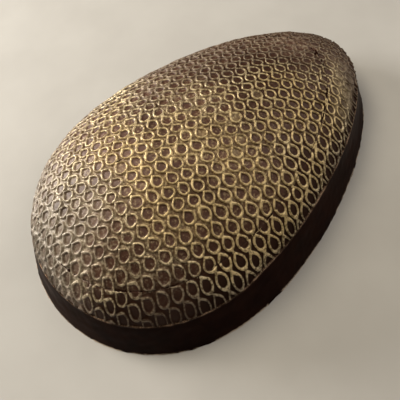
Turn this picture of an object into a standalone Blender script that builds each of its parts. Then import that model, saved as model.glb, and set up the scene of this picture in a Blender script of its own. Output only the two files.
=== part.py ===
"""Moulded half-egg cake, lying on its flat side: a plain base layer, a shoulder layer and a domed crown.

Frame: metres, +Z up. The origin is on the underside, at the middle of its bounding rectangle.
+X is the long axis and points to the small end of the egg; +Y is to the left of it.

The body is half of an egg of revolution about X, a little flattened. Each layer is one pour, so the
joints between the layers run round the body at a constant height.
"""

import math

import bmesh
import bpy

# Driving dimensions, in metres unless a comment says otherwise.
EGG_LENGTH = 0.0680  # length of the egg, end to end, where it would meet the table with no draft
EGG_HALF_WIDTH = 0.3187  # mean half width, as a share of the length
EGG_TAPER = -0.2382  # first harmonic of the outline: how much fatter the big end is
EGG_FULLNESS = 0.0465  # second harmonic of the outline: how full both ends are
HEIGHT_SHARE = 0.929  # height of a cross-section over its half width
HEIGHT_TAPER = -0.0565  # how much flatter the small end is than the big end

BASE_HEIGHT = 0.0067  # top of the plain base layer
CREASE_HEIGHT = 0.0121  # joint between the shoulder and the crown
BASE_DRAFT = 0.00215  # how far the foot of the base layer stands outside its top edge
LAYER_GAP = 0.0003  # clear gap between two layers

BEAD_RADIUS = 0.00028  # raised line round the top edge of the base layer
CREASE_CHAMFER = 0.00030  # softened edge on each side of the crease
FLASH_HEIGHT = 0.00022  # thin lip round the foot, left by the rim of the mould
FLASH_REACH = 0.00020

SEGMENTS = 96  # points round each ring
CROWN_RINGS = 13  # rings from the crease to the top


def half_width(x):
    """Half width of the egg at x, measured from the egg's own middle."""
    c = max(-1.0, min(1.0, 2 * x / EGG_LENGTH))
    shape = 1 + EGG_TAPER * c + EGG_FULLNESS * (2 * c * c - 1)
    return EGG_LENGTH * EGG_HALF_WIDTH * math.sqrt(max(0.0, 1 - c * c)) * shape


def section_height(x):
    """Height of the body above the table on the long axis."""
    return half_width(x) * HEIGHT_SHARE * (1 + HEIGHT_TAPER * 2 * x / EGG_LENGTH)


def surface_height(x, y):
    """Height of the smooth body at a plan point, and 0 outside the outline."""
    w = half_width(x)
    if w < 1e-9 or abs(y) >= w:
        return 0.0
    return section_height(x) * math.sqrt(1 - (y / w) ** 2)


def summit():
    """Where the long axis is highest."""
    steps = 4000
    best = max(
        range(steps + 1), key=lambda i: section_height((i / steps - 0.5) * EGG_LENGTH)
    )
    return (best / steps - 0.5) * EGG_LENGTH


SUMMIT_X = summit()
SUMMIT_Z = section_height(SUMMIT_X)


def spokes():
    """One vector for each ring point, from the summit's plan point to the egg's outline."""
    out = []
    for k in range(SEGMENTS):
        t = 2 * math.pi * k / SEGMENTS
        x = 0.5 * EGG_LENGTH * math.cos(t)
        y = math.copysign(half_width(x), math.sin(t)) if k % (SEGMENTS // 2) else 0.0
        out.append((x - SUMMIT_X, y))
    return out


SPOKES = spokes()


def level_ring(z):
    """The body's contour at height z, as plan points."""
    ring = []
    for dx, dy in SPOKES:
        inner, outer = 0.0, 1.0
        for _ in range(50):
            middle = (inner + outer) / 2
            if surface_height(SUMMIT_X + middle * dx, middle * dy) > z:
                inner = middle
            else:
                outer = middle
        ring.append((SUMMIT_X + inner * dx, inner * dy))
    return ring


def grown(ring, distance):
    """The ring moved outwards by a distance, along its own normals."""
    out = []
    for k, (x, y) in enumerate(ring):
        x0, y0 = ring[k - 1]
        x1, y1 = ring[(k + 1) % len(ring)]
        nx, ny = y1 - y0, x0 - x1
        size = math.hypot(nx, ny)
        out.append((x + distance * nx / size, y + distance * ny / size))
    return out


def frame_shift():
    """Moves the egg's own middle so that the foot's bounding rectangle is centred on the origin."""
    foot = grown(level_ring(BASE_HEIGHT), BASE_DRAFT + FLASH_REACH)
    return -(min(x for x, _ in foot) + max(x for x, _ in foot)) / 2


SHIFT_X = frame_shift()


def lofted(name, rings, top_point=None):
    """A closed solid through rings of plan points with heights, from the lowest to the highest.

    The lowest ring is closed by a flat face. The highest is closed by a flat face too, or by a fan to top_point.
    """
    shape = bmesh.new()
    loops = [
        [shape.verts.new((x + SHIFT_X, y, z)) for x, y in ring] for ring, z in rings
    ]
    for low, high in zip(loops, loops[1:]):
        for k in range(SEGMENTS):
            n = (k + 1) % SEGMENTS
            shape.faces.new((low[k], low[n], high[n], high[k]))
    shape.faces.new(list(reversed(loops[0])))
    if top_point is None:
        shape.faces.new(loops[-1])
    else:
        tip = shape.verts.new(top_point)
        for k in range(SEGMENTS):
            shape.faces.new((loops[-1][k], loops[-1][(k + 1) % SEGMENTS], tip))
    bmesh.ops.recalc_face_normals(shape, faces=shape.faces)
    mesh = bpy.data.meshes.new(name)
    shape.to_mesh(mesh)
    shape.free()
    mesh.shade_smooth()
    mesh.set_sharp_from_angle(angle=math.radians(28))
    piece = bpy.data.objects.new(name, mesh)
    bpy.context.scene.collection.objects.link(piece)
    return piece


def painted(piece, colour, roughness, metallic):
    material = bpy.data.materials.new(piece.name)
    material.use_nodes = True
    shader = material.node_tree.nodes["Principled BSDF"]
    shader.inputs["Base Color"].default_value = (*colour, 1.0)
    shader.inputs["Roughness"].default_value = roughness
    shader.inputs["Metallic"].default_value = metallic
    material.diffuse_color = (*colour, 1.0)
    piece.data.materials.append(material)


def base_layer():
    """Plain drafted slab: flat underside, thin flash lip at the foot, raised bead round the top edge."""
    top = BASE_HEIGHT - LAYER_GAP / 2
    edge = level_ring(BASE_HEIGHT)
    foot = grown(edge, BASE_DRAFT)
    lean = BASE_DRAFT / BASE_HEIGHT
    rings = [
        (grown(foot, FLASH_REACH), 0.0),
        (grown(foot, FLASH_REACH * 0.75), FLASH_HEIGHT * 0.75),
        (grown(foot, FLASH_REACH * 0.2 - lean * FLASH_HEIGHT), FLASH_HEIGHT),
    ]
    bead_foot = top - 2 * BEAD_RADIUS
    for share in (0.3, 0.65, 1.0):
        z = FLASH_HEIGHT + (bead_foot - FLASH_HEIGHT) * share
        rings.append((grown(foot, -lean * z), z))
    for turn in (-35, 5, 45, 80):
        a = math.radians(turn)
        z = top - BEAD_RADIUS + BEAD_RADIUS * math.sin(a)
        rings.append((grown(foot, -lean * z + BEAD_RADIUS * 0.8 * math.cos(a)), z))
    rings.append((grown(edge, -BEAD_RADIUS * 0.6), top))
    return lofted("base_layer", rings)


def shoulder_layer():
    """Steep side of the dome, between the base layer and the crease."""
    low, high = BASE_HEIGHT + LAYER_GAP / 2, CREASE_HEIGHT - LAYER_GAP / 2
    rings = [(level_ring(low), low)]
    for share in (0.25, 0.5, 0.75):
        z = low + (high - CREASE_CHAMFER - low) * share
        rings.append((level_ring(z), z))
    z = high - CREASE_CHAMFER
    rings.append((level_ring(z), z))
    rings.append((grown(level_ring(high), -CREASE_CHAMFER), high))
    return lofted("shoulder_layer", rings)


def crown_cap():
    """Top of the dome, above the crease."""
    low = CREASE_HEIGHT + LAYER_GAP / 2
    turn = low + CREASE_CHAMFER
    edge = level_ring(turn)
    rings = [(grown(level_ring(low), -CREASE_CHAMFER), low), (edge, turn)]
    solid = [(rings[0][0], low)]
    heights = [turn]
    for k in range(1, CROWN_RINGS):
        # Even steps of slope angle keep the facets alike from the steep edge to the flat top.
        share = math.cos(0.5 * math.pi * k / CROWN_RINGS)
        heights.append(turn + (SUMMIT_Z - turn) * (1 - share * share))
    for z in heights:
        solid.append((level_ring(z), z))
    return lofted("crown_cap", solid, top_point=(SUMMIT_X + SHIFT_X, 0.0, SUMMIT_Z))


def main():
    for old in list(bpy.data.objects):
        bpy.data.objects.remove(old, do_unlink=True)
    painted(base_layer(), (0.022, 0.012, 0.009), 0.34, 0.0)
    painted(shoulder_layer(), (0.115, 0.082, 0.042), 0.46, 0.35)
    painted(crown_cap(), (0.190, 0.138, 0.066), 0.44, 0.45)


main()
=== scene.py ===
"""Looks of the moulded half-egg cake: embossed crown and shoulder, plain base layer, floor, lights and camera."""

import math

import bmesh
import bpy
import numpy as np
from mathutils import Matrix, Vector


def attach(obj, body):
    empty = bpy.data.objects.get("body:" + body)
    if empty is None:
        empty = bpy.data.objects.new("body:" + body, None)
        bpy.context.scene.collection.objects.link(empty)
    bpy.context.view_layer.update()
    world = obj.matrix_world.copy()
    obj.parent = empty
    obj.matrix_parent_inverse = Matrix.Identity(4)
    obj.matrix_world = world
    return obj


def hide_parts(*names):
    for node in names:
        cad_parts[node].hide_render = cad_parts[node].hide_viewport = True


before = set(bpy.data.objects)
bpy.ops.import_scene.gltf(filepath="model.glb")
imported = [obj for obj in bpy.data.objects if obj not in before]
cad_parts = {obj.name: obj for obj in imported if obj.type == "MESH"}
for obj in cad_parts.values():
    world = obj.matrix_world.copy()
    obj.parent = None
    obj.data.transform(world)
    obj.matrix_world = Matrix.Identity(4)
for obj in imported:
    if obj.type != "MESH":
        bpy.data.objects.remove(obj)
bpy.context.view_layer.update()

# ---------------------------------------------------------------- the body's own law, as in the CAD
EGG_LENGTH = 0.0680
EGG_HALF_WIDTH = 0.3187
EGG_TAPER = -0.2382
EGG_FULLNESS = 0.0465
HEIGHT_SHARE = 0.929
HEIGHT_TAPER = -0.0565
BASE_HEIGHT = 0.0067
CREASE_HEIGHT = 0.0121
BASE_DRAFT = 0.00215
FLASH_REACH = 0.00020

# ---------------------------------------------------------------- the embossing
LOOP_UP = np.array([0.00099, 0.02853]) * EGG_LENGTH  # from a loop to the next one in its column
LOOP_RIGHT = np.array([0.02729, 0.01386]) * EGG_LENGTH  # to the next column, half a step up
LOOP_START = np.array([-0.21971, -0.18867]) * EGG_LENGTH
PITCH = float(np.hypot(*LOOP_UP))
RIDGE_HALF = 0.110  # half width of a ridge's foot, in pitches
RIDGE_HEIGHT = 0.00026
SINK = 0.00016  # the floors lie this far under the smooth body, so that only the ridge tops stand over it
GILDED_SPOT = np.array([-0.0040, -0.0058])  # about here some loops are half filled with gold
SEED = 7


def half_width(x):
    c = np.clip(2 * x / EGG_LENGTH, -1, 1)
    shape = 1 + EGG_TAPER * c + EGG_FULLNESS * (2 * c * c - 1)
    return EGG_LENGTH * EGG_HALF_WIDTH * np.sqrt(np.maximum(0, 1 - c * c)) * shape


def body_height(x, y):
    """Height of the smooth body over the table. Outside the outline it goes on downwards, so that a cut finds it."""
    w = half_width(x)
    top = w * HEIGHT_SHARE * (1 + HEIGHT_TAPER * 2 * x / EGG_LENGTH)
    r = np.abs(y) / np.maximum(w, 1e-6)
    inside = top * np.sqrt(np.maximum(0, 1 - np.minimum(r, 1) ** 2))
    return np.where((r < 1) & (w > 1e-6), inside, -0.002 - 0.2 * np.maximum(0, np.abs(y) - w))


def body_normal(x, y):
    h = 2e-6
    dx = (body_height(x + h, y) - body_height(x - h, y)) / (2 * h)
    dy = (body_height(x, y + h) - body_height(x, y - h)) / (2 * h)
    steep = np.hypot(dx, dy)
    limit = np.minimum(1, 12 / np.maximum(steep, 1e-9))
    n = np.stack([-dx * limit, -dy * limit, np.ones_like(dx)], 1)
    return n / np.linalg.norm(n, axis=1)[:, None]


_line = np.linspace(-0.5, 0.5, 4001) * EGG_LENGTH
_ridge = half_width(_line) * HEIGHT_SHARE * (1 + HEIGHT_TAPER * 2 * _line / EGG_LENGTH)
SUMMIT_X = float(_line[_ridge.argmax()])


def contour(z, count):
    """Plan points of the body's contour at height z, counter-clockwise, evenly spread."""
    t = np.linspace(0, 2 * np.pi, 4 * count, endpoint=False)
    x = 0.5 * EGG_LENGTH * np.cos(t)
    y = half_width(x) * np.sign(np.sin(t)) * (np.abs(np.sin(t)) > 1e-9)
    dx, dy = x - SUMMIT_X, y
    low, high = np.zeros_like(t), np.ones_like(t)
    for _ in range(44):
        mid = (low + high) / 2
        above = body_height(SUMMIT_X + mid * dx, mid * dy) > z
        low, high = np.where(above, mid, low), np.where(above, high, mid)
    ring = np.stack([SUMMIT_X + low * dx, low * dy], 1)
    step = np.linalg.norm(np.roll(ring, -1, 0) - ring, axis=1)
    along = np.concatenate([[0], np.cumsum(step)])
    want = np.linspace(0, along[-1], count, endpoint=False)
    closed = np.vstack([ring, ring[:1]])
    return np.stack([np.interp(want, along, closed[:, k]) for k in (0, 1)], 1)


def outward(ring):
    t = np.roll(ring, -1, 0) - np.roll(ring, 1, 0)
    n = np.stack([t[:, 1], -t[:, 0]], 1)
    return n / np.linalg.norm(n, axis=1)[:, None]


_foot = contour(BASE_HEIGHT, 1200)
_foot = _foot + outward(_foot) * (BASE_DRAFT + FLASH_REACH)
SHIFT_X = -(_foot[:, 0].min() + _foot[:, 0].max()) / 2


# ---------------------------------------------------------------- smooth made-up noise
def waves(points, wavelength, seed, count=10, spread=0.45):
    """Smooth noise of about unit size, a sum of plane waves in any number of dimensions."""
    rng = np.random.default_rng(seed)
    out = np.zeros(len(points))
    for _ in range(count):
        d = rng.normal(size=points.shape[1])
        d /= np.linalg.norm(d)
        k = 2 * np.pi / (wavelength * (1 + spread * rng.uniform(-1, 1)))
        out += np.sin(points @ d * k + rng.uniform(0, 2 * np.pi))
    return out / math.sqrt(count / 2)


def warp(p):
    """Unevenness of the hand-made master: how far the pattern strays from its lattice at a plan point."""
    a = 0.030 * PITCH
    b = 0.022 * PITCH
    return np.stack(
        [
            a * waves(p, 4.5 * PITCH, SEED + 1) + b * waves(p, 2.1 * PITCH, SEED + 2),
            a * waves(p, 4.5 * PITCH, SEED + 3) + b * waves(p, 2.1 * PITCH, SEED + 4),
        ],
        1,
    )


# ---------------------------------------------------------------- one loop
def bezier(p0, p1, p2, p3, n):
    t = np.linspace(0, 1, n)[:, None]
    return (1 - t) ** 3 * p0 + 3 * (1 - t) ** 2 * t * p1 + 3 * (1 - t) * t * t * p2 + t**3 * p3


def loop_line():
    """Centre line of one teardrop, in pitches: round below, pointed above."""
    wide, tip, deep = 0.398, 0.466, 0.376
    up = bezier(*[np.array(q) for q in ((wide, 0.0), (wide, 0.185), (0.205, 0.290), (0.0, tip))], 26)
    t = np.linspace(-np.pi / 2, 0, 26)[:-1]
    down = np.stack([wide * np.cos(t), deep * np.sin(t)], 1)
    right = np.vstack([down, up])
    left = right[::-1][1:-1] * [-1, 1]
    return np.vstack([right, left])


LINE = loop_line()
CENTRE_DROP = 0.055  # the loop's widest line sits this far below its lattice point, in pitches
_basis = np.stack([LOOP_RIGHT, LOOP_UP], 1) / PITCH  # lattice steps in pitches
_tilt = math.atan2(-LOOP_UP[0], LOOP_UP[1])
_turn = np.array([[math.cos(_tilt), -math.sin(_tilt)], [math.sin(_tilt), math.cos(_tilt)]])
LINE_PLAN = (LINE - [0, CENTRE_DROP]) @ _turn.T  # about the lattice point, in pitches
STEM_PLAN = (np.array([[0.0, 0.44], [0.0, 0.64]]) - [0, CENTRE_DROP]) @ _turn.T  # from a loop's tip to the next loop


def distance_table(size=224):
    """Distance to the nearest ridge line, and whether a point is inside a loop, over one lattice cell."""
    g = (np.arange(size) + 0.0) / size
    ga, gb = np.meshgrid(g, g, indexing="ij")
    p = np.stack([ga.ravel(), gb.ravel()], 1) @ _basis.T
    nearest = np.full(len(p), 9.0)
    second = np.full(len(p), 9.0)
    inside = np.zeros(len(p), bool)
    for i in range(-1, 3):
        for j in range(-2, 4):
            c = _basis @ np.array([i, j])
            if np.linalg.norm(c - p.mean(0)) > 2.6:
                continue
            q = p - c
            near = np.linalg.norm(q, axis=1) < 0.95
            if not near.any():
                continue
            a = LINE_PLAN
            b = np.roll(LINE_PLAN, -1, 0)
            qn = q[near]
            ab = b - a
            t = np.clip(((qn[:, None] - a) * ab).sum(2) / (ab**2).sum(1), 0, 1)
            d = np.linalg.norm(qn[:, None] - (a + t[..., None] * ab), axis=2).min(1)
            stem = STEM_PLAN[1] - STEM_PLAN[0]
            up = np.clip((qn - STEM_PLAN[0]) @ stem / (stem @ stem), 0, 1)[:, None]
            d = np.minimum(d, np.linalg.norm(qn - (STEM_PLAN[0] + up * stem), axis=1) + 0.012)
            cross = (a[:, 1] > qn[:, 1:2]) != (b[:, 1] > qn[:, 1:2])
            xs = a[:, 0] + (qn[:, 1:2] - a[:, 1]) / np.where(b[:, 1] == a[:, 1], 1e-9, b[:, 1] - a[:, 1]) * ab[:, 0]
            inn = ((cross & (qn[:, 0:1] < xs)).sum(1) % 2).astype(bool)
            full = np.full(len(p), 9.0)
            full[near] = d
            inside[np.nonzero(near)[0][inn]] = True
            second = np.minimum(second, np.maximum(nearest, full))
            nearest = np.minimum(nearest, full)
    return nearest.reshape(size, size), second.reshape(size, size), inside.astype(float).reshape(size, size)


TABLE_NEAR, TABLE_SECOND, TABLE_INSIDE = distance_table()


def look_up(table, coords):
    n = table.shape[0]
    c = (coords % 1.0) * n
    i0 = np.floor(c).astype(int)
    f = c - i0
    i0 %= n
    i1 = (i0 + 1) % n
    a, b = f[:, 0], f[:, 1]
    return (
        table[i0[:, 0], i0[:, 1]] * (1 - a) * (1 - b)
        + table[i1[:, 0], i0[:, 1]] * a * (1 - b)
        + table[i0[:, 0], i1[:, 1]] * (1 - a) * b
        + table[i1[:, 0], i1[:, 1]] * a * b
    )


_to_lattice = np.linalg.inv(np.stack([LOOP_RIGHT, LOOP_UP], 1))


def lattice_coords(plan, below):
    """Lattice coordinates of plan points. Below the crease the pattern is a little out of step with the crown's."""
    q = plan - warp(plan) - LOOP_START
    q = q - np.where(below[:, None], np.array([0.05, -0.06]) * PITCH, 0.0)
    return q @ _to_lattice.T


def cell_random(coords, seed):
    """One random number for each loop, from the loop's own lattice place."""
    xy = coords @ np.array([[_basis[0, 0], _basis[1, 0]], [_basis[0, 1], _basis[1, 1]]])
    best = np.full(len(coords), 9.0)
    out = np.zeros(len(coords))
    base = np.floor(coords)
    for i in range(0, 2):
        for j in range(0, 2):
            node = base + [i, j]
            d = np.linalg.norm(xy - node @ _basis.T, axis=1)
            v = np.sin(node[:, 0] * 127.1 + node[:, 1] * 311.7 + seed * 74.7) * 43758.5453
            v = v - np.floor(v)
            take = d < best
            best = np.where(take, d, best)
            out = np.where(take, v, out)
    return out


def relief(plan, below):
    """(height, ridge, inside, fill) of the embossing at plan points, height in metres."""
    c = lattice_coords(plan, below)
    near, second, inside = (look_up(t, c) for t in (TABLE_NEAR, TABLE_SECOND, TABLE_INSIDE))
    narrow = 0.10 * smooth((-plan[:, 0] - 0.010) / 0.012) + 0.15 * smooth((plan[:, 0] - 0.004) / 0.012)
    width = RIDGE_HALF * (1 - narrow) * (1 + 0.10 * waves(plan, 2.3 * PITCH, SEED + 11) + 0.06 * waves(plan, 0.8 * PITCH, SEED + 12))

    # Where two ridges run close they flow into one another.
    soft = 0.034
    joined = near - soft * np.log1p(np.exp(-(second - near) / soft)) + 0.10 * soft
    s = np.clip(joined / width, 0, 1)
    ridge = np.sqrt(np.maximum(0, 1 - s * s)) * (1 - s**3) ** 0.5
    size = 1 + 0.10 * waves(plan, 3.1 * PITCH, SEED + 13) + 0.07 * waves(plan, 0.9 * PITCH, SEED + 14)
    luck = cell_random(c, 1.0)
    crowd = np.exp(-(((plan - GILDED_SPOT) ** 2).sum(1)) / 0.0045**2) + 0.10 * np.clip(waves(plan, 7 * PITCH, SEED + 15), 0, 1)
    fill = np.where(inside > 0.5, np.clip((luck - 1 + 0.42 * crowd) / 0.10, 0, 1) * (0.55 + 0.45 * cell_random(c, 3.0)), 0.0)
    pad = inside * (0.16 + 0.10 * (cell_random(c, 2.0) - 0.5)) * np.clip((near - 0.11) / 0.14, 0, 1)
    pit = -(1 - inside) * 0.18 * np.clip((near - 0.05) / 0.10, 0, 1)
    height = RIDGE_HEIGHT * (ridge * size + pad + pit + 0.12 * fill)
    return height, ridge, inside, fill


def rim_rise(plan):
    """The casting's edge line isn't quite level: it stands higher on the near side and dips at the small end."""
    turn = np.degrees(np.arctan2(plan[:, 1], plan[:, 0] - SUMMIT_X))
    lift = np.clip((turn + 104) / 16, 0, 1) * np.clip((-28 - turn) / 26, 0, 1)
    drop = np.clip((turn + 36) / 15, 0, 1) * np.clip((14 - turn) / 22, 0, 1)
    lift, drop = (t * t * (3 - 2 * t) for t in (lift, drop))
    return 0.00010 + 0.00052 * lift - 0.00028 * drop


# ---------------------------------------------------------------- meshes from arrays
def to_world(p):
    return p + np.array([SHIFT_X, 0, 0])


def hexagon():
    """Corners of the lattice's own hexagon, counter-clockwise from the right-hand upper one, in metres."""
    a1, a2 = LOOP_UP, LOOP_RIGHT
    a3 = a2 - a1
    around = [a1, a2, a3, -a1, -a2, -a3][::-1]  # counter-clockwise
    around = sorted(around, key=lambda v: math.atan2(v[1], v[0]))

    def centre(p, q):
        m = np.array([p, q])
        return np.linalg.solve(m, 0.5 * (m**2).sum(1))

    return [centre(around[k], around[(k + 1) % 6]) for k in range(6)]


def cell_template(per_edge=4):
    """Points of one cell's mesh about its lattice point, ring by ring, and the ring count."""
    corners = hexagon()
    start = next(k for k in range(6) if math.atan2(corners[k][1], corners[k][0]) > 0)
    corners = corners[start:] + corners[:start]
    rim = []
    for k in range(6):
        p, q = corners[k], corners[(k + 1) % 6]
        for m in range(per_edge):
            rim.append(p + (q - p) * m / per_edge)
    rim = np.array(rim)
    origin = np.array([0, -CENTRE_DROP * PITCH]) @ _turn.T
    ray = rim - origin
    reach = np.linalg.norm(ray, axis=1)
    line = LINE_PLAN * PITCH - origin
    ang = np.arctan2(line[:, 1], line[:, 0])
    order = np.argsort(ang)
    rad = np.linalg.norm(line, axis=1)[order]
    radius = np.interp(np.arctan2(ray[:, 1], ray[:, 0]), np.concatenate([ang[order] - 2 * np.pi, ang[order], ang[order] + 2 * np.pi]), np.tile(rad, 3))
    radius = np.minimum(radius, reach * 0.985)
    foot = RIDGE_HALF * PITCH
    shares = []
    for s in (0.32, 0.62):
        shares.append((radius - foot) * s)
    shares.append(radius - foot)
    for s in (0.76, 0.42):
        shares.append(radius - foot * s)
    shares.append(radius)
    gap = reach - radius
    out = np.minimum(foot, gap * 0.74)
    for s in (0.42, 0.76, 1.0):
        shares.append(radius + out * s)
    shares.append(reach)
    unit = ray / reach[:, None]
    return origin, [origin + unit * s[:, None] for s in shares], rim


def pattern_sheet():
    """The whole embossed sheet on the smooth body, before it is cut and raised: points and faces."""
    origin, rings, rim = cell_template()
    n = len(rim)
    local = np.vstack([origin[None]] + rings)
    faces = []
    for a in range(n):
        faces.append((0, 1 + a, 1 + (a + 1) % n, -1))
    for r in range(len(rings) - 1):
        lo, hi = 1 + r * n, 1 + (r + 1) * n
        for a in range(n):
            b = (a + 1) % n
            faces.append((lo + a, hi + a, hi + b, lo + b))
    faces = np.array(faces)
    nodes = []
    for i in range(-40, 60):
        for j in range(-60, 60):
            p = LOOP_START + i * LOOP_RIGHT + j * LOOP_UP
            if float(body_height(p[:1], p[1:])[0]) > BASE_HEIGHT * 0.25 or float(
                body_height(p[:1] * 0.93 - 0.0005, p[1:] * 0.93)[0]
            ) > BASE_HEIGHT * 0.4:
                nodes.append(p)
    nodes = np.array(nodes)
    points = (nodes[:, None, :] + local[None]).reshape(-1, 2)
    stride = len(local)
    allf = (faces[None] + (np.arange(len(nodes)) * stride)[:, None, None]).reshape(-1, 4)
    tri = np.tile(faces[:, 3] < 0, len(nodes))
    keys = np.round(points / 2e-7).astype(np.int64)
    _, first, index = np.unique(keys, axis=0, return_index=True, return_inverse=True)
    index = index.reshape(-1)
    points = points[first]
    quads = index[allf[~tri]]
    tris = index[allf[tri][:, :3]]
    real = points.copy()
    for _ in range(4):
        real = points + warp(real)
    return real, quads, tris


PLAN, QUADS, TRIS = pattern_sheet()


SHARES = ("ridge", "inside", "fill", "dust_and_shade", "film_and_sheen", "haze", "powder_and_sheen")


def cut_sheet(low, high, below):
    """The part of the sheet between two heights, as a bmesh on the smooth body."""
    z = body_height(PLAN[:, 0], PLAN[:, 1])
    keep = np.ones(len(PLAN), bool)
    margin = 0.0012
    wanted = (z > low - margin) & (z < (high + margin if high else 9))
    bm = bmesh.new()
    for name in SHARES:
        bm.verts.layers.float.new(name)
    use_q = wanted[QUADS].any(1)
    use_t = wanted[TRIS].any(1)
    used = np.unique(np.concatenate([QUADS[use_q].ravel(), TRIS[use_t].ravel()]))
    where = -np.ones(len(PLAN), int)
    where[used] = np.arange(len(used))
    level_z = z.copy()
    if below:
        level_z -= rim_rise(PLAN) * np.clip(1.5 - (z - BASE_HEIGHT) / 0.0020, 0, 1)
    verts = [bm.verts.new((float(PLAN[k, 0]), float(PLAN[k, 1]), float(level_z[k]))) for k in used]
    for f in where[QUADS[use_q]]:
        bm.faces.new([verts[k] for k in f])
    for f in where[TRIS[use_t]]:
        bm.faces.new([verts[k] for k in f])
    for level, normal in ((low, (0, 0, -1)), (high, (0, 0, 1))):
        if level is None:
            continue
        geom = list(bm.verts) + list(bm.edges) + list(bm.faces)
        bmesh.ops.bisect_plane(
            bm, geom=geom, dist=2e-6, plane_co=(0, 0, level), plane_no=normal, clear_outer=True
        )
    bmesh.ops.delete(bm, geom=[v for v in bm.verts if not v.link_faces], context="VERTS")
    return bm


# ---------------------------------------------------------------- pieces
def smooth(t):
    t = np.clip(t, 0, 1)
    return t * t * (3 - 2 * t)


def crease_level(plan):
    """How far the crease strays from its own height, in metres."""
    a = np.arctan2(plan[:, 1], plan[:, 0] - SUMMIT_X)
    ring = np.stack([np.cos(a), np.sin(a)], 1)
    return 0.00010 * waves(ring, 0.9, SEED + 21) + 0.00005 * waves(ring, 0.25, SEED + 22)


def dust_and_shade_share(plan, z):
    """How much gold the ridges show, gold dust and painted shade together: more towards the near side, less towards
    the far small end and on the lowest loops, with a painted shadow low on the near side of the big end."""
    x, y = plan.T
    blotch = 0.09 * waves(plan, 9 * PITCH, SEED + 31) + 0.05 * waves(plan, 3.5 * PITCH, SEED + 32)
    # Less on the lowest loops: thinner dust together with painted shade on the low steep sides.
    low = 0.42 + 0.58 * smooth((z - 0.0068) / 0.0042)
    # A painted shadow low on the near side of the big end; duller towards the far side and the small end, painted
    # shade together with thinner dust.
    painted_shade_and_thin_dust = 1 - 0.68 * np.exp(-((x + 0.024) ** 2 + (y + 0.017) ** 2) / 0.0060**2)
    painted_shade_and_thin_dust = painted_shade_and_thin_dust * (1 - 0.32 * smooth((y + 0.004) / 0.008) * smooth((x + 0.007) / 0.012)) * (1 - 0.18 * smooth((x - 0.014) / 0.010))
    rich = 1 + 0.28 * np.exp(-((x + 0.012) ** 2 + (y - 0.004) ** 2) / 0.0055**2)
    # Duller at the far end of the big end: painted shade that tones down the lamp's highlight there.
    big_end = 1 - 0.40 * smooth((-x - 0.014) / 0.014)
    return np.clip(0.98 - 28 * y - 12 * np.maximum(x, -0.008) + blotch, 0.42, 1.38) * low * painted_shade_and_thin_dust * rich * big_end


def film_and_sheen_share(plan, normal):
    """How much the floors between the ridges are lightened, a dust film and a painted sheen together: most on the
    top, a painted sheen on the far side of the big end, none low on the steep sides, which stay dark as painted
    shade.
    """
    x, y = plan.T
    blotch = 0.14 * waves(plan, 7 * PITCH, SEED + 33)
    # Less on steeper faces, so the floors low on the sides keep the dark colour: dust film together with painted
    # shade.
    top = smooth((normal[:, 2] - 0.32) / 0.66) ** 1.2
    top = top * (1 - 0.30 * smooth((x + 0.002) / 0.014)) * (1 - 0.25 * smooth((y - 0.003) / 0.010))
    top = top * (1 - 0.45 * np.exp(-(((x - 0.006) / 0.010) ** 2) - ((y + 0.003) / 0.0075) ** 2))
    # A painted sheen on the far side of the big end.
    big_end = smooth((-x - 0.008) / 0.014) * smooth((y + 0.010) / 0.010)
    foot = 0.14 * smooth((-x - 0.018) / 0.008) * smooth((0.004 - y) / 0.008)
    return np.clip((top + 0.75 * big_end + foot) * (1 + blotch), 0, 1.5)


def powder_and_sheen_share(plan):
    """Where the steep far side of the big end is painted paler over everything: a painted sheen, with some loose
    powder.
    """
    x, y = plan.T
    return smooth((-x - 0.015) / 0.014) * smooth((y + 0.009) / 0.012) * (1 + 0.15 * waves(plan, 5 * PITCH, SEED + 35))


def rubbed(plan, z):
    """Where handling has smeared the gold over the low flank at the small end."""
    turn = np.degrees(np.arctan2(plan[:, 1], plan[:, 0] - SUMMIT_X))
    along = smooth((turn + 31) / 8) * (0.16 + 0.84 * smooth((-5 - turn) / 8)) * smooth((34 - turn) / 14)
    up = smooth((z - 0.0071) / 0.0007) * (1 - smooth((z - 0.0104) / 0.0014))
    return along * up * np.clip(0.80 + 0.22 * waves(plan, 2.6 * PITCH, SEED + 34), 0.3, 1.0)


def set_floats(mesh, name, values):
    layer = mesh.attributes.new(name, "FLOAT", "POINT")
    layer.data.foreach_set("value", np.asarray(values, np.float32))


def boundary_loops(bm):
    """Closed loops of boundary vertices, in order."""
    left = {e for e in bm.edges if e.is_boundary}
    loops = []
    while left:
        e = next(iter(sorted(left, key=lambda k: k.index)))
        left.discard(e)
        loop = [e.verts[0], e.verts[1]]
        while True:
            nxt = [k for k in loop[-1].link_edges if k in left]
            if not nxt:
                break
            left.discard(nxt[0])
            v = nxt[0].other_vert(loop[-1])
            if v is loop[0]:
                break
            loop.append(v)
        loops.append(loop)
    return sorted(loops, key=len)


def close_loop(bm, loop, places):
    """Carries an open edge round through rings of places, then closes it with one flat face."""
    ring = loop
    for place in places:
        new = [bm.verts.new(p) for p in place]
        for k in range(len(ring)):
            n = (k + 1) % len(ring)
            bm.faces.new((ring[k], ring[n], new[n], new[k]))
        ring = new
    return bm.faces.new(ring)


def sunk_rings(ring, centre, level):
    """Rings that lead an uneven rim inwards to one level."""
    out = []
    for share, t in ((0.90, 0.35), (0.78, 0.75), (0.64, 1.0)):
        plan = centre + (ring[:, :2] - centre) * share
        out.append(np.column_stack([plan, ring[:, 2] * (1 - t) + level * t]))
    return out


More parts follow.
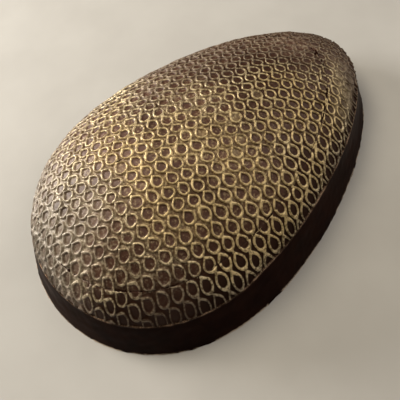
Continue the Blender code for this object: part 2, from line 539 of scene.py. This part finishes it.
def embossed(name, node, low, high, below):
    bm = cut_sheet(low, high, below)
    bm.verts.index_update()
    bm.edges.index_update()
    co = np.array([v.co for v in bm.verts])
    plan = co[:, :2]
    z = body_height(plan[:, 0], plan[:, 1])
    normal = body_normal(plan[:, 0], plan[:, 1])
    slope = np.maximum(np.sqrt(np.maximum(0, 1 - normal[:, 2] ** 2)), 0.3)
    crease = CREASE_HEIGHT + crease_level(plan)
    away = np.abs(z - crease) / slope
    height, ridge, inside, fill = relief(plan, np.full(len(plan), below))
    haze = rubbed(plan, z) if below else np.zeros(len(plan))
    height = height * (1 - 0.40 * haze)
    ridge = ridge * (1 - 0.42 * haze)
    keep = smooth(away / 0.00024)
    height = height * (0.25 + 0.75 * keep) - 0.00011 * (1 - smooth(away / 0.00014))
    if below:
        lip = np.exp(-(((away - 0.00023) / 0.00010) ** 2)) * smooth(
            0.5 + 0.9 * waves(plan, 7 * PITCH, SEED + 41)
        )
        height = np.maximum(height, 0.00016 * lip)
        ridge = np.maximum(ridge, 0.75 * lip)
    height = height - SINK
    ridge = ridge * (0.25 + 0.75 * smooth(away / 0.00013))
    grain = 0.000005 * waves(plan, 0.00085, SEED + 51) * (1 - 0.6 * np.clip(ridge, 0, 1))
    world = to_world(np.stack([plan[:, 0], plan[:, 1], z], 1) + normal * (height + grain)[:, None])
    dust_and_shade, film_and_sheen = dust_and_shade_share(plan, z), film_and_sheen_share(plan, normal)
    layers = [bm.verts.layers.float[k] for k in SHARES]
    values = np.stack([ridge, inside, fill, dust_and_shade, film_and_sheen, haze, powder_and_sheen_share(plan)], 1)
    for v, p, shares in zip(bm.verts, world, values.tolist()):
        v.co = p
        for layer, share in zip(layers, shares):
            v[layer] = share
    centre = np.array([SUMMIT_X + SHIFT_X, 0.0])
    loops = boundary_loops(bm)
    for loop in loops:
        at = np.array([v.co for v in loop])
        inward = centre - at[:, :2]
        inward /= np.linalg.norm(inward, axis=1)[:, None]
        rim_z = at[:, 2].mean()
        upper = below and len(loops) == 2 and rim_z > (BASE_HEIGHT + CREASE_HEIGHT) / 2
        lip1 = np.column_stack([at[:, :2] + inward * 0.00012, at[:, 2]])
        if below and not upper:
            lips = [lip1, np.column_stack([at[:, :2] + inward * 0.00120, at[:, 2]])]
            lips += sunk_rings(lips[-1], centre, BASE_HEIGHT + 0.00016)
        else:
            lip2 = np.column_stack([at[:, :2] + inward * 0.00035, at[:, 2] * 0.5 + rim_z * 0.5])
            lips = [lip1, lip2, np.column_stack([at[:, :2] + inward * 0.00120, np.full(len(at), rim_z)])]
        close_loop(bm, loop, lips)
    bmesh.ops.recalc_face_normals(bm, faces=bm.faces)
    mesh = bpy.data.meshes.new(name)
    bm.to_mesh(mesh)
    bm.free()
    mesh.shade_smooth()
    mesh.set_sharp_from_angle(angle=math.radians(75))
    piece = bpy.data.objects.new(name, mesh)
    bpy.context.scene.collection.objects.link(piece)
    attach(piece, "root")
    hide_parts(node)
    return piece


def plain_base():
    """The plain drafted layer: bead round the top edge, satin wall, thin ragged flash at the foot."""
    count = 1200
    edge = contour(BASE_HEIGHT, count)
    out = outward(edge)
    a = np.arctan2(edge[:, 1], edge[:, 0] - SUMMIT_X)
    ring = np.stack([np.cos(a), np.sin(a)], 1) * 0.03
    top = BASE_HEIGHT - 0.00010 + rim_rise(edge)
    lean = BASE_DRAFT / BASE_HEIGHT
    ragged = 0.5 + 0.25 * waves(ring, 0.0042, SEED + 61) + 0.22 * waves(ring, 0.0011, SEED + 62)
    reach = np.clip(0.00003 + 0.00009 * ragged, 0.00002, 0.00018)
    thick = np.clip(0.00009 + 0.00003 * waves(ring, 0.0016, SEED + 63), 0.00005, 0.00014)
    bead = 0.000065 * (1 + 0.16 * waves(ring, 0.0022, SEED + 64) + 0.09 * waves(ring, 0.0007, SEED + 65))
    rings = []

    def add(offset, z, flash, bead_highlight=0.0):
        offset = np.broadcast_to(offset, (count,))
        z = np.broadcast_to(z, (count,))
        p = edge + out * offset[:, None]
        rings.append((np.column_stack([p, z]), (flash, bead_highlight)))

    foot = BASE_DRAFT
    add(foot + reach * 0.82, np.zeros(count), 1.0)
    add(foot + reach, thick * 0.35, 1.0)
    add(foot + reach * 0.80, thick * 0.85, 1.0)
    add(foot + reach * 0.30 - lean * thick, thick * 1.0, 0.7)
    add(foot - 0.00003 - lean * thick * 1.3, thick * 1.45, 0.2)
    wall_low = thick * 2.2
    wall_high = top - 0.00040
    for k in range(22):
        s = k / 21
        z = wall_low + (wall_high - wall_low) * s
        p = np.column_stack([edge, z])
        wave = 0.000020 * waves(p, 0.0065, SEED + 66) + 0.000008 * waves(p, 0.0018, SEED + 67)
        add(foot - lean * z + wave, z, 0.0)
    # The bead's rings also weigh the painted highlight line: full on its upper side, less below.
    for turn in (-62, -40, -15, 10, 35, 60, 85):
        t = math.radians(turn)
        z = top - bead * 1.05 + bead * math.sin(t)
        add(-lean * (z - BASE_HEIGHT) + bead * 0.95 * math.cos(t) - 0.00003, z, 0.0, 1.0 if turn > -50 else 0.4)
    lean_in = -lean * (top - BASE_HEIGHT)
    add(lean_in - bead * 0.9, top, 0.0, 0.5)
    add(lean_in - bead * 0.9 - 0.0012, top - 0.00003, 0.0)
    middle = np.array([SUMMIT_X, 0.0])
    for ring in sunk_rings(rings[-1][0], middle, BASE_HEIGHT + 0.00002):
        rings.append((ring, (0.0, 0.0)))
    bm = bmesh.new()
    loops = [[bm.verts.new(p) for p in to_world(r)] for r, _ in rings]
    for lo, hi in zip(loops, loops[1:]):
        for k in range(count):
            n = (k + 1) % count
            bm.faces.new((lo[k], lo[n], hi[n], hi[k]))
    bm.faces.new(loops[-1])
    # The underside: poured flat, a little drawn in by cooling, in rings towards the middle.
    under = []
    shade = [np.tile(s, (count, 1)) for _, s in rings]
    foot_ring = rings[0][0]
    middle = np.array([foot_ring[:, 0].mean(), 0.0])
    last = loops[0]
    for s in (0.985, 0.965, 0.93, 0.86, 0.76, 0.64, 0.50, 0.36, 0.22, 0.10):
        p = middle + (foot_ring[:, :2] - middle) * s
        sink = 0.00010 * smooth((1 - s) / 0.12)
        z = sink * (1 + 0.5 * waves(p, 0.010, SEED + 68)) + 0.00002 * smooth((1 - s) / 0.05) * (
            1 + waves(p, 0.0025, SEED + 69)
        )
        z = np.maximum(z, 0.0)
        new = [bm.verts.new(v) for v in to_world(np.column_stack([p, z]))]
        for k in range(count):
            n = (k + 1) % count
            bm.faces.new((last[n], last[k], new[k], new[n]))
        last = new
        shade.append(np.zeros((count, 2)))
    bm.faces.new(list(reversed(last)))
    bmesh.ops.recalc_face_normals(bm, faces=bm.faces)
    mesh = bpy.data.meshes.new("plain_base")
    bm.to_mesh(mesh)
    bm.free()
    edge_share = np.concatenate(shade)
    set_floats(mesh, "flash", edge_share[:, 0])
    # The bead attribute places the painted highlight line on the bead.
    set_floats(mesh, "bead", edge_share[:, 1])
    mesh.shade_smooth()
    mesh.set_sharp_from_angle(angle=math.radians(60))
    piece = bpy.data.objects.new("plain_base", mesh)
    bpy.context.scene.collection.objects.link(piece)
    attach(piece, "root")
    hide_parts("base_layer")
    return piece


# ---------------------------------------------------------------- materials
GOLD_DEEP = (0.48, 0.368, 0.195, 1)
GOLD_PALE = (0.75, 0.620, 0.395, 1)
CAST = (0.0155, 0.0045, 0.0018, 1)
BLOOM_FLOOR = (0.142, 0.056, 0.028, 1)
BLOOM_GAP = (0.112, 0.038, 0.010, 1)


class Nodes:
    """Small helper for writing node trees."""

    def __init__(self, name):
        self.material = bpy.data.materials.new(name)
        self.material.use_nodes = True
        self.tree = self.material.node_tree
        self.shader = self.tree.nodes["Principled BSDF"]

    def new(self, kind, **settings):
        node = self.tree.nodes.new(kind)
        for key, value in settings.items():
            setattr(node, key, value)
        return node

    def link(self, source, target):
        self.tree.links.new(source, target)

    def put(self, socket, value):
        if hasattr(value, "is_output"):
            self.link(value, socket)
        else:
            socket.default_value = value

    def attribute(self, name):
        return self.new("ShaderNodeAttribute", attribute_name=name).outputs["Fac"]

    def place(self):
        return self.new("ShaderNodeTexCoord").outputs["Object"]

    def noise(self, scale, detail=2.0, rough=0.55, stretch=None, turned=(0, 0, 0)):
        node = self.new("ShaderNodeTexNoise")
        node.inputs["Scale"].default_value = scale
        node.inputs["Detail"].default_value = detail
        node.inputs["Roughness"].default_value = rough
        vector = self.place()
        if stretch:
            mapping = self.new("ShaderNodeMapping")
            mapping.inputs["Scale"].default_value = stretch
            mapping.inputs["Rotation"].default_value = turned
            self.link(vector, mapping.inputs["Vector"])
            vector = mapping.outputs["Vector"]
        self.link(vector, node.inputs["Vector"])
        return node.outputs["Fac"]

    def sum(self, operation, a, b=0.0, c=None, clamp=False):
        node = self.new("ShaderNodeMath", operation=operation, use_clamp=clamp)
        self.put(node.inputs[0], a)
        self.put(node.inputs[1], b)
        if c is not None:
            self.put(node.inputs[2], c)
        return node.outputs[0]

    def span(self, value, a, b, c=0.0, d=1.0):
        node = self.new("ShaderNodeMapRange", interpolation_type="SMOOTHSTEP")
        for k, v in enumerate((value, a, b, c, d)):
            self.put(node.inputs[k], v)
        return node.outputs[0]

    def mix(self, share, a, b):
        node = self.new("ShaderNodeMix", data_type="RGBA")
        self.put(node.inputs["Factor"], share)
        self.put(node.inputs[6], a)
        self.put(node.inputs[7], b)
        return node.outputs[2]

    def blend(self, share, a, b):
        node = self.new("ShaderNodeMix", data_type="FLOAT")
        self.put(node.inputs["Factor"], share)
        self.put(node.inputs[2], a)
        self.put(node.inputs[3], b)
        return node.outputs[0]

    def bump(self, height, distance, strength, normal=None):
        node = self.new("ShaderNodeBump")
        node.inputs["Distance"].default_value = distance
        node.inputs["Strength"].default_value = strength
        self.link(height, node.inputs["Height"])
        if normal is not None:
            self.link(normal, node.inputs["Normal"])
        return node.outputs["Normal"]


def gold_dusted():
    m = Nodes("gold_dusted")
    ridge, inside, fill, dust_and_shade, film_and_sheen, haze, powder_and_sheen = (m.attribute(k) for k in SHARES)
    grain = m.noise(7000.0, 3.0, 0.65)
    speck = m.noise(3000.0, 3.0, 0.7)
    fleck = m.noise(2300.0, 2.0, 0.6)
    patch = m.noise(420.0, 3.0, 0.6)
    broad = m.noise(90.0, 2.0, 0.5)
    streak = m.noise(1500.0, 2.0, 0.55, turned=(0.0, 0.35, 0.9), stretch=(0.16, 1.0, 1.0))
    # Gold lies on the ridges, thins out where the grain and the patches break it up.
    cover = m.span(m.sum("SUBTRACT", ridge, m.span(dust_and_shade, 0.45, 1.0, 0.14, 0.0)), 0.26, 0.74)
    broken = m.sum("MULTIPLY_ADD", fleck, 0.9, m.sum("MULTIPLY", speck, 0.5))
    keep = m.span(broken, 0.58, 0.80, 0.34, 1.10)
    on_ridge = m.sum("MULTIPLY", m.sum("MULTIPLY", cover, keep), dust_and_shade)
    # Between the ridges it lies as separate flecks, more of them in the gaps than inside the loops.
    sprinkled = m.sum("MULTIPLY_ADD", fleck, 0.8, m.sum("MULTIPLY_ADD", speck, 0.4, m.sum("MULTIPLY", patch, 0.3)))
    floor_dust = m.span(sprinkled, 0.74, 0.96, 0.0, 0.42)
    floor_dust = m.sum("MULTIPLY", floor_dust, m.span(film_and_sheen, 0.25, 1.0))
    # In the gaps the flecks thicken at the big end where the film and powder masks are high, partly a painted sheen.
    in_gaps = m.sum("ADD", m.sum("MULTIPLY", powder_and_sheen, 0.10), m.span(film_and_sheen, 0.45, 1.10, 0.0, 0.35))
    in_gaps = m.sum("MULTIPLY", m.sum("SUBTRACT", 1.0, inside), in_gaps)
    floor_dust = m.sum("ADD", floor_dust, m.sum("MULTIPLY", in_gaps, m.span(sprinkled, 0.62, 0.90, 0.38, 1.08)))
    filled = m.sum("MULTIPLY", fill, m.span(m.sum("MULTIPLY_ADD", speck, 0.8, m.sum("MULTIPLY", patch, 0.5)), 0.45, 0.80, 0.10, 0.62))
    smeared = m.sum("MULTIPLY", haze, m.span(m.sum("MULTIPLY_ADD", streak, 0.8, m.sum("MULTIPLY", speck, 0.4)), 0.42, 0.78, 0.10, 0.46))
    floor_dust = m.sum("ADD", floor_dust, m.sum("ADD", filled, smeared))
    gold = m.sum("MAXIMUM", on_ridge, floor_dust, clamp=True)
    tone = m.sum("MULTIPLY_ADD", broad, 0.35, m.sum("MULTIPLY_ADD", fleck, 0.45, m.sum("MULTIPLY", speck, 0.40)))
    tone = m.span(tone, 0.50, 0.71)
    gold_colour = m.mix(tone, GOLD_DEEP, GOLD_PALE)
    # Ridges with less gold look duller, thin dust and painted shade together, those with more look yellower; at the
    # big end they are painted paler, a painted sheen with some loose powder.
    gold_colour = m.mix(m.span(dust_and_shade, 0.42, 0.85, 0.65, 0.0), gold_colour, (0.44, 0.355, 0.275, 1))
    gold_colour = m.mix(m.span(dust_and_shade, 0.80, 1.25, 0.0, 0.50), gold_colour, (0.70, 0.505, 0.215, 1))
    gold_colour = m.mix(m.sum("MULTIPLY", powder_and_sheen, 0.70, clamp=True), gold_colour, (0.60, 0.560, 0.475, 1))
    # The floors: the dark cast colour, lightened where the film mask is high (dust film, and a painted sheen at the
    # big end) and paler under the powder mask (painted sheen); where they stay dark low on the sides it stands for
    # shade.
    bloom = m.mix(inside, BLOOM_GAP, BLOOM_FLOOR)
    bloom = m.mix(m.sum("MULTIPLY", powder_and_sheen, 0.8, clamp=True), bloom, (0.225, 0.165, 0.105, 1))
    bloomed = m.sum("MULTIPLY", film_and_sheen, m.span(m.sum("MULTIPLY_ADD", speck, 0.5, m.sum("MULTIPLY", patch, 0.7)), 0.35, 0.90, 0.42, 0.92))
    dark_colour = m.mix(m.sum("MINIMUM", bloomed, 1.0), CAST, bloom)
    m.link(m.mix(gold, dark_colour, gold_colour), m.shader.inputs["Base Color"])
    m.link(m.sum("MULTIPLY", gold, 0.62), m.shader.inputs["Metallic"])
    rough = m.blend(gold, 0.55, 0.52)
    m.link(m.sum("ADD", rough, m.span(grain, 0.3, 0.7, -0.05, 0.08)), m.shader.inputs["Roughness"])
    m.link(m.sum("MULTIPLY_ADD", film_and_sheen, 0.42, 0.04), m.shader.inputs["Specular IOR Level"])
    coarse = m.bump(speck, 0.00004, 0.65)
    m.link(m.bump(grain, 0.00002, 0.65, coarse), m.shader.inputs["Normal"])
    return m.material


def dark_cast():
    m = Nodes("dark_cast")
    flash, bead = m.attribute("flash"), m.attribute("bead")
    grain = m.noise(7000.0, 2.0, 0.6)
    patch = m.noise(300.0, 4.0, 0.6)
    smear = m.noise(160.0, 3.0, 0.55, stretch=(0.35, 0.35, 1.6))
    tint = m.mix(m.span(patch, 0.3, 0.7), (0.0075, 0.0019, 0.0009, 1), (0.0155, 0.0045, 0.0022, 1))
    # The rounded top edge carries one thin pale line, a painted highlight; the flash is pale here and there.
    painted_bead_highlight = m.sum("MULTIPLY", bead, m.span(m.sum("MULTIPLY_ADD", grain, 0.4, m.sum("MULTIPLY", patch, 0.6)), 0.46, 0.60, 0.10, 1.0))
    tint = m.mix(painted_bead_highlight, tint, (0.42, 0.275, 0.180, 1))
    spots = m.span(m.sum("MULTIPLY_ADD", grain, 0.35, m.sum("MULTIPLY", patch, 0.75)), 0.50, 0.60, 0.0, 1.0)
    m.link(m.mix(m.sum("MULTIPLY", flash, spots), tint, (0.50, 0.40, 0.31, 1)), m.shader.inputs["Base Color"])
    rough = m.sum("ADD", 0.36, m.span(smear, 0.30, 0.70, 0.0, 0.16))
    m.link(rough, m.shader.inputs["Roughness"])
    m.shader.inputs["Specular IOR Level"].default_value = 0.015
    wide = m.bump(smear, 0.00006, 0.35)
    m.link(m.bump(grain, 0.000006, 0.5, wide), m.shader.inputs["Normal"])
    return m.material


def pale_floor():
    m = Nodes("pale_floor")
    patch = m.noise(60.0, 3.0, 0.55)
    m.link(m.mix(m.span(patch, 0.3, 0.7), (0.50, 0.478, 0.445, 1), (0.54, 0.518, 0.483, 1)), m.shader.inputs["Base Color"])
    m.shader.inputs["Roughness"].default_value = 0.85
    m.shader.inputs["Specular IOR Level"].default_value = 0.2
    m.link(m.bump(m.noise(2500.0, 2.0, 0.5), 0.00002, 0.3), m.shader.inputs["Normal"])
    return m.material


GOLD = gold_dusted()
DARK = dark_cast()
crown = embossed("embossed_crown", "crown_cap", CREASE_HEIGHT, None, False)
shoulder = embossed("embossed_shoulder", "shoulder_layer", BASE_HEIGHT, CREASE_HEIGHT, True)
base = plain_base()
crown.data.materials.append(GOLD)
shoulder.data.materials.append(GOLD)
base.data.materials.append(DARK)

# ---------------------------------------------------------------- stage, camera and lights
bm = bmesh.new()
bmesh.ops.create_grid(bm, x_segments=24, y_segments=24, size=1.2)
floor_mesh = bpy.data.meshes.new("studio_floor")
bm.to_mesh(floor_mesh)
bm.free()
floor = bpy.data.objects.new("studio_floor", floor_mesh)
floor.location = (0, 0, -0.00002)
bpy.context.scene.collection.objects.link(floor)
floor.data.materials.append(pale_floor())

# The viewing direction: seen from over the big end and a little to the right of the long axis.
VIEW_AZIMUTH, VIEW_ELEVATION, VIEW_ROLL = -2.17562, 1.03772, -0.2202
VIEW_OFFSET = np.array([-0.04625, -0.07876, math.exp(0.22676)]) * EGG_LENGTH
back = np.array(
    [
        math.cos(VIEW_AZIMUTH) * math.cos(VIEW_ELEVATION),
        math.sin(VIEW_AZIMUTH) * math.cos(VIEW_ELEVATION),
        math.sin(VIEW_ELEVATION),
    ]
)
level = np.cross([0, 0, 1.0], back)
level /= np.linalg.norm(level)
upward = np.cross(back, level)
c, s = math.cos(VIEW_ROLL), math.sin(VIEW_ROLL)
RIGHT = c * level + s * upward
UP = -s * level + c * upward
BACK = back
turn = np.stack([RIGHT, UP, BACK])  # rows: the camera's own axes
spot = turn.T @ VIEW_OFFSET + np.array([SHIFT_X, 0, 0])
camera_data = bpy.data.cameras.new("camera")
camera_data.sensor_width = 36.0
camera_data.lens = 43.905
camera_data.clip_start = 0.002
camera_data.clip_end = 10
camera_data.dof.use_dof = False
camera = bpy.data.objects.new("camera", camera_data)
pose = Matrix.Identity(4)
for r in range(3):
    pose[r][0], pose[r][1], pose[r][2], pose[r][3] = RIGHT[r], UP[r], BACK[r], spot[r]
camera.matrix_world = pose
bpy.context.scene.collection.objects.link(camera)
bpy.context.scene.camera = camera


def lamp(name, azimuth, elevation, distance, size, power, colour):
    """A soft round lamp aimed at the cake, its place given by angles about the cake, in degrees."""
    a, e = math.radians(azimuth), math.radians(elevation)
    d = Vector((math.cos(a) * math.cos(e), math.sin(a) * math.cos(e), math.sin(e)))
    data = bpy.data.lights.new(name, "AREA")
    data.shape = "DISK"
    data.size = size
    data.energy = power
    data.color = colour
    lamp_object = bpy.data.objects.new(name, data)
    lamp_object.location = d * distance + Vector((0, 0, 0.008))
    lamp_object.rotation_mode = "QUATERNION"
    lamp_object.rotation_quaternion = d.to_track_quat("Z", "Y")
    bpy.context.scene.collection.objects.link(lamp_object)


# A low soft lamp beyond the left side rakes the relief, a higher one lights the crown, two broad ones fill the right.
lamp("low", 117, 17, 0.24, 0.14, 0.72, (1.0, 0.985, 0.96))
lamp("high", 110, 62, 0.25, 0.14, 0.34, (1.0, 0.91, 0.74))
lamp("side", 342, 26, 0.45, 0.30, 0.54, (1.0, 0.955, 0.90))
lamp("front", 320, 60, 0.30, 0.20, 0.13, (1.0, 0.945, 0.86))
lamp("near", 245, 52, 0.30, 0.20, 0.10, (1.0, 0.90, 0.76))
world = bpy.data.worlds.new("studio")
world.use_nodes = True
world.node_tree.nodes["Background"].inputs["Color"].default_value = (1.0, 0.985, 0.96, 1)
world.node_tree.nodes["Background"].inputs["Strength"].default_value = 0.04
bpy.context.scene.world = world
bpy.context.scene.view_settings.view_transform = "Standard"
